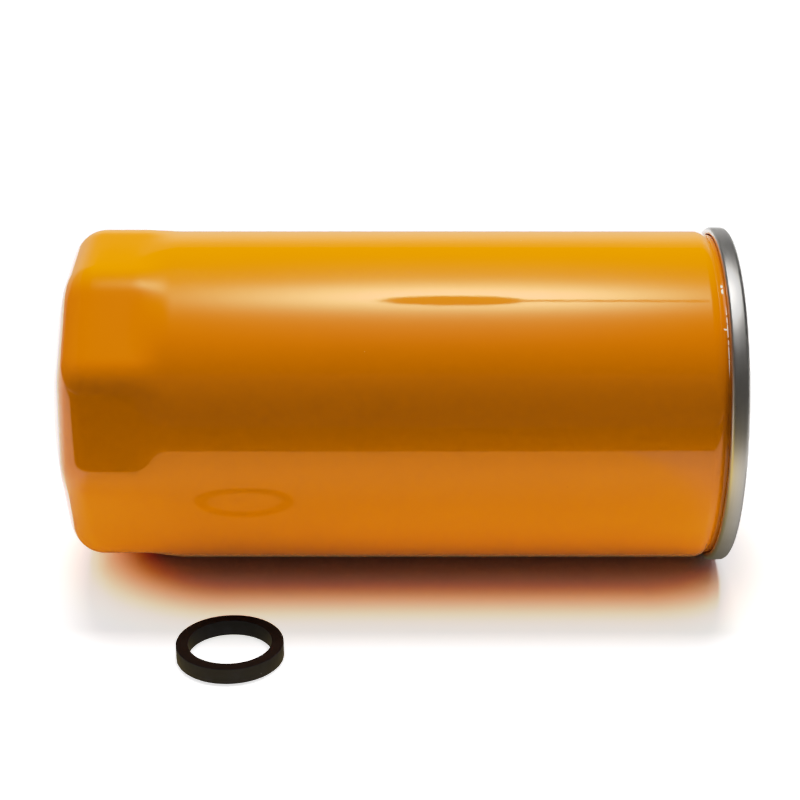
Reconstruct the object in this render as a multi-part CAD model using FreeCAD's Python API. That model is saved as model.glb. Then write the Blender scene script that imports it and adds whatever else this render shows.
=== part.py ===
"""A spin-on oil filter, 93 mm in diameter, with its full inside and its loose stud seal.

The filter lies on its side: its axis is +X, the closed end points to -X and the threaded end to +X.
The origin is the centre of the threaded hole's mouth, in the base plate's outer face.
All sizes are in millimetres, and each sub-part is written to parts/NODE.step.
"""
import FreeCAD, Part
import math
import os

Vector = FreeCAD.Vector
ORIGIN = Vector(0, 0, 0)
AXIS = Vector(1, 0, 0)
GAP = 0.05                      # clearance between pieces that lie against each other

# ---- driving dimensions -------------------------------------------------------------------------
BODY_R = 46.5                   # canister's outer radius
CAN_SHEET = 0.6
LID_SHEET = 0.7
RIM_R = 47.3                    # outer radius of the rolled seam
RIM_FRONT = 4.4                 # how far the seam stands in front of the base plate
RIM_HEIGHT = 5.0
CLOSED_END = -184.4             # tip of the domed end
DOME_RISE = 4.9                 # from the dome's tip back to where its corner starts
DOME_CORNER_R = 9.3             # radius between the dome and the flats

FLAT_COUNT = 10                 # flats for a cap wrench, pressed into the closed end
FLAT_DISTANCE = 45.5            # from the axis to each flat
FLAT_CORNER_R = 15.7            # rounding between two flats
FLAT_END = -157.9               # where the flats stop and their ramps start
RAMP_END = -149.5               # where the ramps meet the round wall
WALL_START = -140.0             # where the plain round wall is joined on
FIRST_CORNER_DEG = 28.0         # turn of one corner about the axis, above horizontal at the front

PLATE_R = 40.2
PLATE_THICKNESS = 4.0
NECK_R = 14.0
NECK_LENGTH = 14.0
THREAD_MINOR_R = 10.19          # M22 x 1.5 internal thread
INLET_COUNT = 8
INLET_R = 3.25
INLET_CIRCLE_R = 22.0

GASKET_INNER_R = 30.45
GASKET_OUTER_R = 35.85
GASKET_FRONT = 5.9

VALVE_THICKNESS = 1.35          # anti-drain valve's rubber
VALVE_LIP_R = 28.8

CAP_SHEET = 0.5
ELEMENT_R = 41.15               # outer radius of the end caps
CAP_RIM = 5.8
LOWER_CAP_FACE = -15.45         # side of the lower end cap that faces the base plate
UPPER_CAP_FACE = -161.55        # side of the upper end cap that faces the dome
POTTING_DEPTH = 2.95
TUBE_INNER_R = 15.4
TUBE_SHEET = 0.6
TUBE_HOLE_R = 2.25
TUBE_HOLE_RINGS = 17
TUBE_HOLES_PER_RING = 8

PLEAT_COUNT = 60
PLEAT_OUTER_R = 40.2
PLEAT_INNER_R = 17.0
PAPER = 0.6
FOLD_R = 0.45                   # bend radius of the paper's middle line at a fold

ORIFICE_R = 8.5                 # bypass valve's opening
POPPET_R = 10.8
STEM_R = 2.0
CAGE_R = 14.8
CAGE_SHEET = 0.6
CAGE_FLOOR = -137.5
BYPASS_WIRE = 1.0
BYPASS_COIL_R = 7.5
BYPASS_TURNS = 6

ELEMENT_WIRE = 2.0
ELEMENT_COIL_R = 17.0
ELEMENT_SPRING_TURNS = 3.5

SEAL_INNER_R = 11.0             # loose stud seal
SEAL_OUTER_R = 14.2
SEAL_THICKNESS = 4.4
SEAL_X = -132.1                 # where the loose seal lies
SEAL_Y = -66.1


# ---- helpers ------------------------------------------------------------------------------------
def at(x, r):
    """A point of a profile: x along the axis, r from the axis."""
    return Vector(x, 0, r)


def turned(face):
    """A profile face turned about the axis into a solid."""
    return face.revolve(ORIGIN, AXIS, 360)


def polygon_face(points):
    """A face bounded by straight lines through (x, r) points."""
    return Part.Face(Part.makePolygon([at(x, r) for x, r in points + points[:1]]))


def turned_polygon(points):
    return turned(polygon_face(points))


def ring(x_low, x_high, r_inner, r_outer):
    """A plain ring about the axis."""
    return turned_polygon([(x_low, r_inner), (x_high, r_inner), (x_high, r_outer), (x_low, r_outer)])


def rounded_ring(x_low, x_high, r_inner, r_outer, radius):
    """A ring about the axis with its four edges rounded."""
    body = ring(x_low, x_high, r_inner, r_outer)
    circles = [e for e in body.Edges if isinstance(e.Curve, Part.Circle)]
    return body.makeFillet(radius, circles)


def arc(centre, radius, start, end):
    """An arc of a profile about centre, from the direction start to the direction end."""
    middle = (start + end).normalize()
    points = [centre + direction * radius for direction in (start, middle, end)]
    return Part.Arc(*points).toShape()


def sheet_side(points, bends, shift):
    """One side of a bent sheet: its middle line moved sideways by shift, with its bends as arcs."""
    runs = [(points[i + 1] - points[i]).normalize() for i in range(len(points) - 1)]
    normals = [Vector(-run.z, 0, run.x) for run in runs]
    starts = [points[0] + normals[0] * shift]
    edges = []
    for i, bend in enumerate(bends):
        corner = points[i + 1]
        turn = runs[i].x * runs[i + 1].z - runs[i].z * runs[i + 1].x
        side = 1 if turn > 0 else -1
        setback = bend * math.tan(runs[i].getAngle(runs[i + 1]) / 2)
        centre = corner - runs[i] * setback + normals[i] * side * bend
        radius = bend - side * shift
        first = centre - normals[i] * side * radius
        last = centre - normals[i + 1] * side * radius
        edges.append(Part.makeLine(starts[-1], first))
        edges.append(arc(centre, radius, normals[i] * -side, normals[i + 1] * -side))
        starts.append(last)
    edges.append(Part.makeLine(starts[-1], points[-1] + normals[-1] * shift))
    return edges


def sheet(path, bends, thickness):
    """Sheet metal turned about the axis. path holds the (x, r) corners of the sheet's middle line."""
    points = [at(x, r) for x, r in path]
    left = sheet_side(points, bends, thickness / 2)
    right = sheet_side(points, bends, -thickness / 2)
    ends = [Part.makeLine(left[0].firstVertex().Point, right[0].firstVertex().Point),
            Part.makeLine(left[-1].lastVertex().Point, right[-1].lastVertex().Point)]
    wire = Part.Wire(Part.__sortEdges__(left + right + ends))
    return turned(Part.Face(wire))


def coil(wire_r, coil_r, turns, x_low, x_high):
    """A round-wire spring about the axis that fills the space from x_low to x_high."""
    length = x_high - x_low - 2 * wire_r
    pitch = length / turns
    along = Vector(0, coil_r, pitch / (2 * math.pi))
    section = Part.Wire(Part.makeCircle(wire_r, Vector(coil_r, 0, 0), along))
    helix = Part.Wire(Part.makeHelix(pitch, length, coil_r))
    spring = helix.makePipeShell([section], True, True)
    spring.rotate(ORIGIN, Vector(0, 1, 0), 90)
    spring.translate(AXIS * (x_low + wire_r))
    return spring


def polar(radius, degrees):
    """A point across the axis, turned from the horizontal at the front (-Y) towards +Z."""
    angle = math.radians(degrees)
    return Vector(0, -radius * math.cos(angle), radius * math.sin(angle))


def around(shape, count, first_deg=0.0):
    """Copies of a shape that stands at the front (-Y), spaced evenly about the axis."""
    copies = []
    for i in range(count):
        copy = shape.copy()
        copy.rotate(ORIGIN, AXIS, -(first_deg + i * 360.0 / count))
        copies.append(copy)
    return copies


# ---- pressed housing ----------------------------------------------------------------------------
def dome_radius():
    """Radius of the sphere that the dome is part of."""
    rim_r = FLAT_DISTANCE - DOME_CORNER_R
    return (rim_r ** 2 + DOME_RISE ** 2) / (2 * DOME_RISE)


def decagon(x, inset):
    """Outline of the flats at x: straight sides with rounded corners, moved inwards by inset."""
    half_pitch = 180.0 / FLAT_COUNT
    corner_r = FLAT_CORNER_R - inset
    centre_r = (FLAT_DISTANCE - FLAT_CORNER_R) / math.cos(math.radians(half_pitch))
    place = Vector(x, 0, 0)
    edges = []
    for i in range(FLAT_COUNT):
        corner = FIRST_CORNER_DEG + 2 * half_pitch * i
        centre = place + polar(centre_r, corner)
        start, middle, end = (centre + polar(corner_r, corner + turn) for turn in (-half_pitch, 0, half_pitch))
        after = place + polar(centre_r, corner + 2 * half_pitch) + polar(corner_r, corner + half_pitch)
        edges += [Part.Arc(start, middle, end).toShape(), Part.makeLine(end, after)]
    return Part.Wire(edges)


def split_circle(x, inset):
    """The round wall's outline at x, in as many arcs as the outline of the flats has edges."""
    place = Vector(x, 0, 0)
    radius = BODY_R - inset
    centre_r = (FLAT_DISTANCE - FLAT_CORNER_R) / math.cos(math.pi / FLAT_COUNT)
    tangent = polar(centre_r, 0) + polar(FLAT_CORNER_R, 180.0 / FLAT_COUNT)
    half_arc = math.degrees(math.atan2(tangent.z, -tangent.y))
    pitch = 360.0 / FLAT_COUNT
    edges = []
    for i in range(FLAT_COUNT):
        corner = FIRST_CORNER_DEG + pitch * i
        stops = (corner - half_arc, corner + half_arc, corner + pitch - half_arc)
        for low, high in (stops[:2], stops[1:]):
            points = [place + polar(radius, turn) for turn in (low, (low + high) / 2, high)]
            edges.append(Part.Arc(*points).toShape())
    return Part.Wire(edges)


def closed_end(inset):
    """The filled form of the can's closed end, moved inwards by inset."""
    dome_r = dome_radius()
    dome = Part.makeSphere(dome_r - inset, Vector(CLOSED_END + dome_r, 0, 0))
    start = CLOSED_END - 1.0
    prism = Part.Face(decagon(start, inset)).extrude(AXIS * (FLAT_END - start)).common(dome)
    turn_in = [edge for edge in prism.Edges if edge.BoundBox.XMax < FLAT_END - 10]
    prism = prism.makeFillet(DOME_CORNER_R - inset, turn_in)
    ramp = Part.makeLoft([decagon(FLAT_END, inset), split_circle(RAMP_END, inset)], True, True)
    wall = Part.makeCylinder(BODY_R - inset, WALL_START - RAMP_END, Vector(RAMP_END, 0, 0), AXIS)
    return prism.fuse([ramp, wall])


def seam_radii():
    """Middle-line radii of the seam's five layers, from the outside in."""
    lid_wall = RIM_R - LID_SHEET / 2
    can_hook = RIM_R - LID_SHEET - GAP - CAN_SHEET / 2
    step = (LID_SHEET + CAN_SHEET) / 2 + GAP
    return lid_wall, can_hook, can_hook - step, can_hook - 2 * step, can_hook - 3 * step


def canister():
    """Deep-drawn can: domed end with flats, round wall, necked mouth and seam hook."""
    end = closed_end(0).cut(closed_end(CAN_SHEET))
    _, hook_r, _, neck_r, _ = seam_radii()
    wall_r = BODY_R - CAN_SHEET / 2
    top = RIM_FRONT - LID_SHEET - GAP - CAN_SHEET / 2
    path = [(WALL_START, wall_r), (-5.8, wall_r), (-2.6, neck_r), (top, neck_r), (top, hook_r), (0.4, hook_r)]
    wall = sheet(path, [3.0, 2.0, 0.6, 0.6], CAN_SHEET)
    return end.fuse(wall).removeSplitter()


def seaming_lid():
    """Ring of zinc-plated sheet: gasket channel, countersink and the outer wrap of the seam."""
    wall_r, _, hook_r, _, chuck_r = seam_radii()
    floor = LID_SHEET / 2
    flat = RIM_FRONT - 1.5
    sink = -1.4
    top = RIM_FRONT - LID_SHEET / 2
    bottom = RIM_FRONT - RIM_HEIGHT + LID_SHEET / 2
    lip_r = GASKET_INNER_R - GAP - LID_SHEET / 2
    channel_r = GASKET_OUTER_R + 2 * GAP + LID_SHEET / 2
    sink_r = PLATE_R + 0.8
    path = [(2.5, lip_r), (floor, lip_r), (floor, channel_r), (flat, channel_r), (flat, sink_r), (sink, sink_r),
            (sink, chuck_r), (top, chuck_r), (top, wall_r), (bottom, wall_r), (bottom, hook_r), (2.7, hook_r)]
    return sheet(path, [0.6, 0.6, 0.8, 0.9, 0.9, 0.9, 0.95, 0.95, 0.65, 0.65], LID_SHEET)


def seam_sealant():
    """Bead of sealing compound in the seam, between the end of the lid's hook and the can's."""
    _, _, hook_r, _, _ = seam_radii()
    return ring(2.75, 2.95, hook_r - 0.25, hook_r + 0.25)


def base_plate():
    """Thick plate with a drawn neck, tapped M22 x 1.5, and a ring of inlet holes."""
    fillet = 1.5
    plate = turned_polygon([(0, THREAD_MINOR_R), (0, PLATE_R - 0.5), (-0.5, PLATE_R), (-PLATE_THICKNESS, PLATE_R),
                            (-PLATE_THICKNESS, NECK_R + fillet), (-PLATE_THICKNESS - fillet, NECK_R),
                            (-NECK_LENGTH, NECK_R), (-NECK_LENGTH, THREAD_MINOR_R)])
    start = Vector(-PLATE_THICKNESS - 1, -INLET_CIRCLE_R, 0)
    hole = Part.makeCylinder(INLET_R, PLATE_THICKNESS + 2, start, AXIS)
    return plate.cut(Part.makeCompound(around(hole, INLET_COUNT, 180.0 / INLET_COUNT)))


def outer_gasket():
    """Square-cut sealing ring that stands out of the lid's channel."""
    return rounded_ring(LID_SHEET + GAP, GASKET_FRONT, GASKET_INNER_R, GASKET_OUTER_R, 0.6)


def anti_drain_valve():
    """Rubber diaphragm: a collar on the base plate's neck and a flap over the inlet holes."""
    seat = -PLATE_THICKNESS - GAP
    top = LOWER_CAP_FACE + GAP
    under = -NECK_LENGTH - GAP
    return turned_polygon([(top, 11.2), (top, 18.6), (under, 18.6), (under, 15.6), (-10.8, 15.6),
                           (seat - VALVE_THICKNESS, VALVE_LIP_R - 0.2), (seat, VALVE_LIP_R), (seat, VALVE_LIP_R - 1.4),
                           (-9.0, 15.2), (-8.6, NECK_R + GAP), (under, NECK_R + GAP), (under, 11.2)])


# ---- filter element -----------------------------------------------------------------------------
def end_cap(face, heading, hole_r):
    """Pressed cap of the element. Its outer side is at face, and its rim points along heading."""
    middle = face + heading * CAP_SHEET / 2
    rim_r = ELEMENT_R - CAP_SHEET / 2
    path = [(middle, hole_r), (middle, rim_r), (face + heading * CAP_RIM, rim_r)]
    return sheet(path, [0.8], CAP_SHEET)


def potting(face, heading):
    """Disc of adhesive that bonds the pleats' ends into a cap."""
    low = face + heading * (CAP_SHEET + GAP)
    high = low + heading * POTTING_DEPTH
    inner = TUBE_INNER_R + TUBE_SHEET + GAP
    outer = ELEMENT_R - CAP_SHEET - GAP
    corner = 0.8
    return turned_polygon([(low, inner), (low, outer - corner), (low + heading * corner, outer), (high, outer),
                           (high, inner)])


def element_span():
    """The x range of the bare pleats, between the two discs of adhesive."""
    low = UPPER_CAP_FACE + CAP_SHEET + POTTING_DEPTH + 2 * GAP
    high = LOWER_CAP_FACE - CAP_SHEET - POTTING_DEPTH - 2 * GAP
    return low, high


def centre_tube():
    """Perforated tube that the pleats bear against."""
    low = UPPER_CAP_FACE + CAP_SHEET + GAP
    high = LOWER_CAP_FACE - CAP_SHEET - GAP
    tube = ring(low, high, TUBE_INNER_R, TUBE_INNER_R + TUBE_SHEET)
    first, last = element_span()
    pitch = (last - first) / (TUBE_HOLE_RINGS + 1)
    drills = []
    for i in range(TUBE_HOLE_RINGS):
        x = first + pitch * (i + 1)
        reach = 2 * TUBE_INNER_R
        drill = Part.makeCylinder(TUBE_HOLE_R, 2 * reach, Vector(x, -reach, 0), Vector(0, 1, 0))
        step = 360.0 / TUBE_HOLES_PER_RING
        for j in range(TUBE_HOLES_PER_RING // 2):
            copy = drill.copy()
            copy.rotate(ORIGIN, AXIS, step * (j + 0.5 * (i % 2)))
            drills.append(copy)
    return tube.cut(Part.makeCompound(drills))


def fold_centres():
    """Centres of the paper's folds, outer and inner by turns, as (radius, degrees)."""
    pitch = 360.0 / PLEAT_COUNT
    outer = PLEAT_OUTER_R - FOLD_R - PAPER / 2
    inner = PLEAT_INNER_R + FOLD_R + PAPER / 2
    folds = []
    for i in range(PLEAT_COUNT):
        folds.append((outer, i * pitch))
        folds.append((inner, (i + 0.5) * pitch))
    return folds + [(outer, 360.0)]


def pleat_side(side):
    """One side of the folded paper, as a list of edges from the first leg to the last."""
    folds = [polar(r, deg) for r, deg in fold_centres()]
    radii = [FOLD_R + side * PAPER / 2 if i % 2 == 0 else FOLD_R - side * PAPER / 2 for i in range(len(folds))]
    legs = []
    for i in range(len(folds) - 1):
        across = folds[i + 1] - folds[i]
        distance = across.Length
        way = across.normalize()
        lean = math.asin((radii[i] + radii[i + 1]) / distance)
        swing = 1 if i % 2 == 0 else -1
        side_way = AXIS.cross(way)
        out = side_way * swing * math.cos(lean) + way * math.sin(lean)
        legs.append((folds[i] + out * radii[i], folds[i + 1] - out * radii[i + 1]))
    edges = []
    for i, (start, end) in enumerate(legs):
        edges.append(Part.makeLine(start, end))
        if i + 1 < len(legs):
            centre = folds[i + 1]
            across = folds[i] - centre + folds[i + 2] - centre
            top = centre - across.normalize() * radii[i + 1]
            edges.append(Part.Arc(end, top, legs[i + 1][0]).toShape())
    return edges


def pleated_media():
    """Filter paper folded into pleats, with its two free ends side by side at the seam clip."""
    first, last = element_span()
    sides = [pleat_side(1), pleat_side(-1)]
    ends = [Part.makeLine(sides[0][0].firstVertex().Point, sides[1][0].firstVertex().Point),
            Part.makeLine(sides[0][-1].lastVertex().Point, sides[1][-1].lastVertex().Point)]
    wire = Part.Wire(Part.__sortEdges__(sides[0] + sides[1] + ends))
    paper = Part.Face(wire).extrude(AXIS * (last - first))
    paper.translate(AXIS * first)
    return paper


def media_seam_clip():
    """Folded steel strip that holds the paper's two free ends together."""
    first, last = element_span()
    inside = FOLD_R + PAPER / 2 + GAP
    wall = 0.35
    top = PLEAT_OUTER_R
    roof = top - wall
    foot = roof - 5.0
    outside = inside + wall
    corners = [(-outside, foot), (-inside, foot), (-inside, roof), (inside, roof), (inside, foot), (outside, foot),
               (outside, top), (-outside, top)]
    points = [Vector(first, -r, z) for z, r in corners]
    strip = Part.Face(Part.makePolygon(points + points[:1]))
    return strip.extrude(AXIS * (last - first))


def pleat_bands():
    """Beads of hot-melt adhesive around the pleats that keep them apart."""
    first, last = element_span()
    count = 5
    pitch = (last - first) / (count + 1)
    inner = PLEAT_OUTER_R + GAP
    bands = [ring(first + pitch * (i + 1) - 1.2, first + pitch * (i + 1) + 1.2, inner, inner + 0.6)
             for i in range(count)]
    return Part.makeCompound(bands)


# ---- bypass valve and springs ---------------------------------------------------------------------
SEAT_LIP = UPPER_CAP_FACE + 2.75          # the edge that the bypass poppet closes on
POPPET_FACE = SEAT_LIP + GAP              # sealed side of the poppet's rubber
POPPET_BACK = POPPET_FACE + 2.6           # side that the bypass spring pushes


def bypass_seat_ring():
    """Ring clenched in the upper end cap, with the raised edge that the poppet closes on."""
    cap = UPPER_CAP_FACE
    return turned_polygon([(cap - 1.05, ORIFICE_R), (cap - 1.05, 15.8), (cap - GAP, 15.8), (cap - GAP, 12.9),
                           (SEAT_LIP - 0.7, 12.9), (SEAT_LIP - 0.7, 9.6), (SEAT_LIP, 9.2), (SEAT_LIP, ORIFICE_R)])


def bypass_cage():
    """Cup with windows inside the centre tube that holds the bypass spring and guides the stem."""
    wall_r = CAGE_R - CAGE_SHEET / 2
    mouth = UPPER_CAP_FACE + CAP_SHEET + GAP + CAGE_SHEET / 2
    floor = CAGE_FLOOR - CAGE_SHEET / 2
    path = [(mouth, 12.9 + GAP), (mouth, wall_r), (floor, wall_r), (floor, STEM_R + 0.1)]
    cup = sheet(path, [0.6, 1.5], CAGE_SHEET)
    window = Part.makeBox(13.0, CAGE_R, 9.0, Vector(-154.0, -1.3 * CAGE_R, -4.5))
    drain = Part.makeCylinder(1.5, 4.0, Vector(CAGE_FLOOR - 2, -10.8, 0), AXIS)
    cuts = around(window, 4) + around(drain, 4, 45.0)
    return cup.cut(Part.makeCompound(cuts))


def bypass_poppet():
    """Steel disc riveted to its stem."""
    rubber_back = POPPET_FACE + 1.5
    stem_end = CAGE_FLOOR + 2.0
    return turned_polygon([(POPPET_FACE - 0.6, 0), (POPPET_FACE - 0.6, 3.4), (POPPET_FACE, 4.0), (POPPET_FACE, STEM_R),
                           (rubber_back, STEM_R), (rubber_back, POPPET_R), (POPPET_BACK, POPPET_R),
                           (POPPET_BACK, 5.6), (POPPET_BACK + 2.0, 5.2), (POPPET_BACK + 2.0, 3.0),
                           (POPPET_BACK + 3.0, STEM_R), (stem_end, STEM_R), (stem_end, 0)])


def bypass_poppet_seal():
    """Rubber washer on the poppet that meets the seat ring."""
    return ring(POPPET_FACE, POPPET_FACE + 1.5 - GAP, STEM_R + GAP, POPPET_R - 0.2)


def bypass_spring():
    """Spring between the cage's floor and the poppet."""
    floor = CAGE_FLOOR - CAGE_SHEET - GAP
    return coil(BYPASS_WIRE / 2, BYPASS_COIL_R, BYPASS_TURNS, POPPET_BACK + GAP, floor)


def spring_plate():
    """Pressed seat on the upper end cap for the element spring."""
    cap = UPPER_CAP_FACE - GAP - 0.4
    return sheet([(cap, 16.0), (cap, 21.6), (cap - 3.0, 21.6)], [0.8], 0.8)


def element_spring():
    """Spring between the dome and the spring plate that holds the element down."""
    dome_r = dome_radius() - CAN_SHEET
    reach = ELEMENT_COIL_R + ELEMENT_WIRE / 2
    dome_inside = CLOSED_END + CAN_SHEET + dome_r - math.sqrt(dome_r ** 2 - reach ** 2)
    plate = UPPER_CAP_FACE - 0.8 - 2 * GAP
    return coil(ELEMENT_WIRE / 2, ELEMENT_COIL_R, ELEMENT_SPRING_TURNS, dome_inside + GAP, plate)


# ---- loose piece ----------------------------------------------------------------------------------
def stud_seal_ring():
    """Square-cut rubber ring for the mounting stud, lying flat beside the filter."""
    start = Vector(SEAL_X, SEAL_Y, -RIM_R)
    up = Vector(0, 0, 1)
    outer = Part.makeCylinder(SEAL_OUTER_R, SEAL_THICKNESS, start, up)
    return outer.cut(Part.makeCylinder(SEAL_INNER_R, SEAL_THICKNESS, start, up))


PIECES = {
    "canister": canister,
    "seaming_lid": seaming_lid,
    "seam_sealant": seam_sealant,
    "base_plate": base_plate,
    "outer_gasket": outer_gasket,
    "anti_drain_valve": anti_drain_valve,
    "lower_end_cap": lambda: end_cap(LOWER_CAP_FACE, -1, 12.0),
    "lower_potting": lambda: potting(LOWER_CAP_FACE, -1),
    "pleated_media": pleated_media,
    "media_seam_clip": media_seam_clip,
    "pleat_bands": pleat_bands,
    "centre_tube": centre_tube,
    "upper_potting": lambda: potting(UPPER_CAP_FACE, 1),
    "upper_end_cap": lambda: end_cap(UPPER_CAP_FACE, 1, 12.95),
    "bypass_seat_ring": bypass_seat_ring,
    "bypass_cage": bypass_cage,
    "bypass_poppet": bypass_poppet,
    "bypass_poppet_seal": bypass_poppet_seal,
    "bypass_spring": bypass_spring,
    "spring_plate": spring_plate,
    "element_spring": element_spring,
    "stud_seal_ring": stud_seal_ring,
}


def main():
    os.makedirs("parts", exist_ok=True)
    for name, make in PIECES.items():
        shape = make()
        print(f"{name}: {len(shape.Solids)} solid(s), {shape.Volume:.1f} mm3, valid {shape.isValid()}")
        shape.exportStep(f"parts/{name}.step")


main()
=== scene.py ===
"""Looks of a spin-on oil filter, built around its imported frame.

The filter lies on its side: a painted canister with ten wrench flats in its closed end, a
zinc-plated lid rolled into a double seam at the threaded end, the working parts inside, and a
loose square-section seal beside it. The file is laid out as an add-on: sizes and colours are
properties, each piece or group of like pieces has its own operator, and the sidebar panel lists
them. All lengths are in metres, and the filter's axis is X.
"""

import math

import bmesh
import bpy
from bpy.props import FloatProperty, FloatVectorProperty, IntProperty, PointerProperty
from bpy.types import Operator, Panel, PropertyGroup
from mathutils import Matrix, Vector, noise


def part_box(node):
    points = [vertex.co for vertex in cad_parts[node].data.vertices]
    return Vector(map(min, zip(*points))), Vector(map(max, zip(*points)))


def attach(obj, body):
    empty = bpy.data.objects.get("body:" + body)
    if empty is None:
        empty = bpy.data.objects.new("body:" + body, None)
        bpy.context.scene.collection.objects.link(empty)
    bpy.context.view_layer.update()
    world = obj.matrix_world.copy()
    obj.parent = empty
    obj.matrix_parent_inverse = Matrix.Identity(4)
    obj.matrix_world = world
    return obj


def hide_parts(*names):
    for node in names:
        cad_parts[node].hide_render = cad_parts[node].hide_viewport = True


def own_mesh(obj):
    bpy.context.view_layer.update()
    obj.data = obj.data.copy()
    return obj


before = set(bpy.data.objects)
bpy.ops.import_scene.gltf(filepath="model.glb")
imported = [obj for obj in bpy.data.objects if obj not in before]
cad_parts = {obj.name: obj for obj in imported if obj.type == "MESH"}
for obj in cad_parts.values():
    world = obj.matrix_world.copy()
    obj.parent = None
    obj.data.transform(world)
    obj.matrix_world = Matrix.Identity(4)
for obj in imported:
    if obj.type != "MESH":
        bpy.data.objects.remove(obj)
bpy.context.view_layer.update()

bl_info = {
    "name": "Spin-on Oil Filter",
    "version": (1, 0, 0),
    "blender": (4, 5, 0),
    "location": "3D View > Sidebar > Oil Filter",
    "description": "Builds the pieces, finishes and studio of a spin-on oil filter",
    "category": "Add Mesh",
}

MM = 0.001
MERGE = 1e-6  # points nearer than this are one point


# ---------------------------------------------------------------- sizes and colours


def length(name, description, default):
    """A length property in metres."""
    return FloatProperty(
        name=name, description=description, default=default, min=0.0, unit="LENGTH", precision=5
    )


def colour(name, description, default):
    """A linear RGB colour property."""
    return FloatVectorProperty(
        name=name, description=description, default=default, size=3, min=0.0, max=1.0, subtype="COLOR"
    )


RING_LOW, RING_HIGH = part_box("stud_seal_ring")
GASKET_LOW, GASKET_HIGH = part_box("outer_gasket")
PLATE_LOW, PLATE_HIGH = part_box("base_plate")
FLOOR_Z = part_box("seaming_lid")[0].z
CLOSED_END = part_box("canister")[0].x


class OilFilterSizes(PropertyGroup):
    """Sizes that a user would change."""

    body_radius: length("Body radius", "Outer radius of the canister's round wall", 46.5 * MM)
    can_sheet: length("Can sheet", "Thickness of the canister's steel", 0.6 * MM)
    dome_radius: length("Dome radius", "Radius of the shallow dome at the closed end", 136.2 * MM)
    dome_corner: length("Dome corner", "Radius between the dome and the wall", 9.3 * MM)
    flat_count: IntProperty(
        name="Wrench flats", description="Number of flats at the closed end", default=10, min=3
    )
    flat_distance: length("Flat distance", "Distance from the axis to each wrench flat", 45.5 * MM)
    flat_corner: length("Flat corner", "Radius between neighbouring wrench flats", 15.7 * MM)
    lid_sheet: length("Lid sheet", "Thickness of the seaming lid's steel", 0.7 * MM)
    thread_radius: length("Thread radius", "Major radius of the mounting thread", 11.0 * MM)
    thread_pitch: length("Thread pitch", "Pitch of the mounting thread", 1.5 * MM)
    thread_minor: length("Thread minor", "Radius of the thread's crests in the neck", 10.19 * MM)
    seal_bore: length("Seal bore", "Radius of the loose seal's bore", 11.0 * MM)


class OilFilterColours(PropertyGroup):
    """Colours that a user would change."""

    paint: colour("Paint", "Baked enamel on the canister", (0.64, 0.172, 0.0))
    zinc: colour("Zinc", "Zinc plating on the lid", (0.62, 0.6, 0.57))
    steel: colour("Steel", "Bare pressed steel", (0.5, 0.49, 0.47))
    rubber: colour("Rubber", "Black nitrile rubber", (0.006, 0.0035, 0.0025))
    valve: colour("Valve rubber", "Silicone rubber of the anti-drain valve", (0.42, 0.09, 0.03))
    paper: colour("Filter paper", "Resin-treated filter paper", (0.62, 0.5, 0.31))
    adhesive: colour("Adhesive", "Potting and beads of hot melt", (0.74, 0.68, 0.55))


# ---------------------------------------------------------------- materials


class Wire:
    """An output socket of a finish, which takes part in expressions."""

    def __init__(self, finish, socket):
        self.finish = finish
        self.socket = socket

    def __add__(self, other):
        return self.finish.maths("ADD", self, other)

    def __radd__(self, other):
        return self.finish.maths("ADD", other, self)

    def __sub__(self, other):
        return self.finish.maths("SUBTRACT", self, other)

    def __rsub__(self, other):
        return self.finish.maths("SUBTRACT", other, self)

    def __mul__(self, other):
        return self.finish.maths("MULTIPLY", self, other)

    def __rmul__(self, other):
        return self.finish.maths("MULTIPLY", other, self)

    def __truediv__(self, other):
        return self.finish.maths("DIVIDE", self, other)

    def __pow__(self, other):
        return self.finish.maths("POWER", self, other)

    def __abs__(self):
        return self.finish.maths("ABSOLUTE", self)

    def __gt__(self, other):
        return self.finish.maths("GREATER_THAN", self, other)

    def __lt__(self, other):
        return self.finish.maths("LESS_THAN", self, other)

    def exponential(self):
        return self.finish.maths("EXPONENT", self)

    def larger(self, other):
        """The larger of the two."""
        return self.finish.maths("MAXIMUM", self, other)

    def rise(self, low, high):
        """0 below low, 1 above high, smooth between them; high may be the smaller one."""
        settings = {"interpolation_type": "SMOOTHSTEP"}
        return self.finish.node("MapRange", settings, {"Value": self, "From Min": low, "From Max": high})

    def band(self, low, high, edge):
        """1 between low and high, with soft edges."""
        return self.rise(low - edge, low + edge) * self.rise(high + edge, high - edge)


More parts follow.
